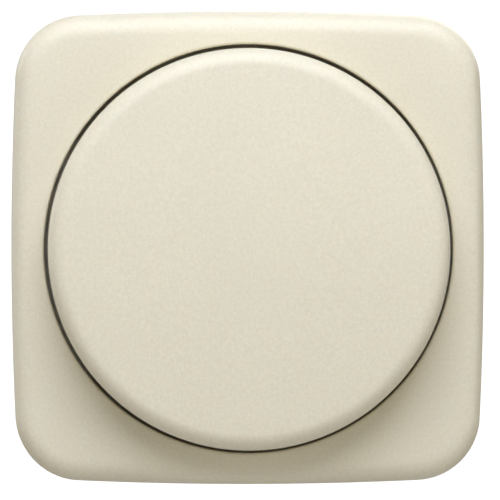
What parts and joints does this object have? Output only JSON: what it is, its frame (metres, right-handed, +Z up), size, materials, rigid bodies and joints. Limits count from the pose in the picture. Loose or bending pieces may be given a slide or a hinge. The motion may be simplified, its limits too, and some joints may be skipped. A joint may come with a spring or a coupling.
{
  "type": "rotary dimmer switch",
  "caption": "Flush-mounted wall dimmer: square cushion-shaped plate, large round push-and-turn knob, wall-box insert with claws and terminals behind.",
  "frame": {"origin": "on the knob's axis, at the wall's surface, which is the back of the support frame and of the plate's rim", "axes": "+Y into the wall, -Y to the room, +Z up, +X right as seen from the room"},
  "size_m": [0.08, 0.046, 0.08],
  "materials": {
    "cream_plastic": "satin moulded thermoplastic",
    "black_plastic": "moulded thermoset, satin",
    "grey_plastic": "moulded polyamide, satin",
    "white_plastic": "moulded polyamide, satin",
    "zinc_steel": "zinc-plated sheet steel",
    "screw_steel": "zinc-plated steel",
    "spring_steel": "bright spring steel",
    "brass": "bare brass",
    "tinned_copper": "tinned copper",
    "enamelled_copper": "enamelled copper wire",
    "ferrite": "painted iron-powder core",
    "board": "phenolic paper laminate",
    "capacitor_film": "epoxy-dipped film",
    "resistor_body": "lacquered ceramic",
    "carbon": "carbon film",
    "glass": "clear tube",
    "mica": "insulating sheet",
    "diac_glass": "glass bead"
  },
  "bodies": {
    "base": {"cover_plate": "cream_plastic", "threaded_bush": "brass", "plate_nut": "white_plastic", "bush_nut": "screw_steel", "lock_washer": "spring_steel", "support_frame": "zinc_steel", "frame_screws": "screw_steel", "insert_housing": "black_plastic", "inner_lid": "black_plastic", "terminal_block": "grey_plastic", "terminal_bars": "brass", "circuit_board": "board", "potentiometer_can": "zinc_steel", "track_wafer": "board", "carbon_track": "carbon", "potentiometer_tags": "tinned_copper", "switch_case": "black_plastic", "return_spring": "spring_steel", "fixed_contacts": "tinned_copper", "latch_pin": "spring_steel", "choke_core": "ferrite", "choke_winding": "enamelled_copper", "film_capacitor": "capacitor_film", "component_leads": "tinned_copper", "timing_capacitors": "capacitor_film", "resistors": "resistor_body", "diac": "diac_glass", "triac_pad": "mica", "triac_tab": "zinc_steel", "triac_body": "black_plastic", "triac_leads": "tinned_copper", "triac_rivet": "brass", "trimmer_base": "black_plastic", "fuse_glass": "glass", "fuse_caps": "tinned_copper", "fuse_wire": "tinned_copper", "fuse_clips": "brass", "fuse_carrier": "grey_plastic"},
    "push_slider": {"switch_plunger": "white_plastic", "moving_contact": "tinned_copper"},
    "knob": {"control_knob": "cream_plastic", "knob_spring_clip": "spring_steel", "control_shaft": "brass", "shaft_retaining_ring": "spring_steel"},
    "wiper": {"wiper_rotor": "white_plastic", "wiper_contact": "brass"},
    "trimmer": {"trimmer_spindle": "white_plastic"},
    "claw_screw_left": {"claw_screw_left": "screw_steel"},
    "claw_nut_left": {"claw_nut_left": "screw_steel"},
    "claw_left": {"claw_left": "zinc_steel"},
    "claw_screw_right": {"claw_screw_right": "screw_steel"},
    "claw_nut_right": {"claw_nut_right": "screw_steel"},
    "claw_right": {"claw_right": "zinc_steel"},
    "terminal_screw_1": {"terminal_screw_1": "screw_steel"},
    "terminal_cage_1": {"terminal_cage_1": "brass"},
    "terminal_screw_2": {"terminal_screw_2": "screw_steel"},
    "terminal_cage_2": {"terminal_cage_2": "brass"},
    "terminal_screw_3": {"terminal_screw_3": "screw_steel"},
    "terminal_cage_3": {"terminal_cage_3": "brass"}
  },
  "joints": [
    {"name": "knob_push", "type": "slide", "parent": "base", "child": "push_slider", "axis": [0, 1, 0], "range_m": [0, 0.0015], "stiffness_N_per_m": 1500, "springref_m": -0.003, "deforming": ["return_spring"]},
    {"name": "knob_turn", "type": "hinge", "parent": "push_slider", "child": "knob", "pos_m": [0, 0, 0], "axis": [0, 1, 0], "range_deg": [-132, 132]},
    {"name": "wiper_turn", "type": "hinge", "parent": "base", "child": "wiper", "pos_m": [0, 0, 0], "axis": [0, 1, 0], "range_deg": [-132, 132]},
    {"name": "trimmer_turn", "type": "hinge", "parent": "base", "child": "trimmer", "pos_m": [0.0143, 0, -0.0092], "axis": [0, 1, 0], "range_deg": [-135, 135]},
    {"name": "claw_screw_left_turn", "type": "hinge", "parent": "base", "child": "claw_screw_left", "pos_m": [-0.0227, 0, 0], "axis": [0, 1, 0], "range_deg": [0, 814]},
    {"name": "claw_nut_left_slide", "type": "slide", "parent": "base", "child": "claw_nut_left", "axis": [0, -1, 0], "range_m": [0, 0.00113]},
    {"name": "claw_left_swing", "type": "hinge", "parent": "base", "child": "claw_left", "pos_m": [-0.0195, 0.0046, 0], "axis": [0, 0, 1], "range_deg": [0, 25]},
    {"name": "claw_screw_right_turn", "type": "hinge", "parent": "base", "child": "claw_screw_right", "pos_m": [0.0227, 0, 0], "axis": [0, 1, 0], "range_deg": [0, 814]},
    {"name": "claw_nut_right_slide", "type": "slide", "parent": "base", "child": "claw_nut_right", "axis": [0, -1, 0], "range_m": [0, 0.00113]},
    {"name": "claw_right_swing", "type": "hinge", "parent": "base", "child": "claw_right", "pos_m": [0.0195, 0.0046, 0], "axis": [0, 0, -1], "range_deg": [0, 25]},
    {"name": "terminal_screw_1_turn", "type": "hinge", "parent": "base", "child": "terminal_screw_1", "pos_m": [-0.01, 0.02, -0.0188], "axis": [0, -1, 0], "range_deg": [0, 2161]},
    {"name": "terminal_cage_1_slide", "type": "slide", "parent": "base", "child": "terminal_cage_1", "axis": [0, 1, 0], "range_m": [0, 0.003]},
    {"name": "terminal_screw_2_turn", "type": "hinge", "parent": "base", "child": "terminal_screw_2", "pos_m": [0, 0.02, -0.0188], "axis": [0, -1, 0], "range_deg": [0, 2161]},
    {"name": "terminal_cage_2_slide", "type": "slide", "parent": "base", "child": "terminal_cage_2", "axis": [0, 1, 0], "range_m": [0, 0.003]},
    {"name": "terminal_screw_3_turn", "type": "hinge", "parent": "base", "child": "terminal_screw_3", "pos_m": [0.01, 0.02, -0.0188], "axis": [0, -1, 0], "range_deg": [0, 2161]},
    {"name": "terminal_cage_3_slide", "type": "slide", "parent": "base", "child": "terminal_cage_3", "axis": [0, 1, 0], "range_m": [0, 0.003]}
  ],
  "couplings": [
    {"joint": "wiper_turn", "follows": "knob_turn", "ratio": 1},
    {"joint": "claw_screw_left_turn", "follows": "claw_nut_left_slide", "rad_per_m": 12566},
    {"joint": "claw_left_swing", "follows": "claw_nut_left_slide", "rad_per_m": 385.79},
    {"joint": "claw_screw_right_turn", "follows": "claw_nut_right_slide", "rad_per_m": 12566},
    {"joint": "claw_right_swing", "follows": "claw_nut_right_slide", "rad_per_m": 385.79},
    {"joint": "terminal_screw_1_turn", "follows": "terminal_cage_1_slide", "rad_per_m": 12566},
    {"joint": "terminal_screw_2_turn", "follows": "terminal_cage_2_slide", "rad_per_m": 12566},
    {"joint": "terminal_screw_3_turn", "follows": "terminal_cage_3_slide", "rad_per_m": 12566}
  ]
}
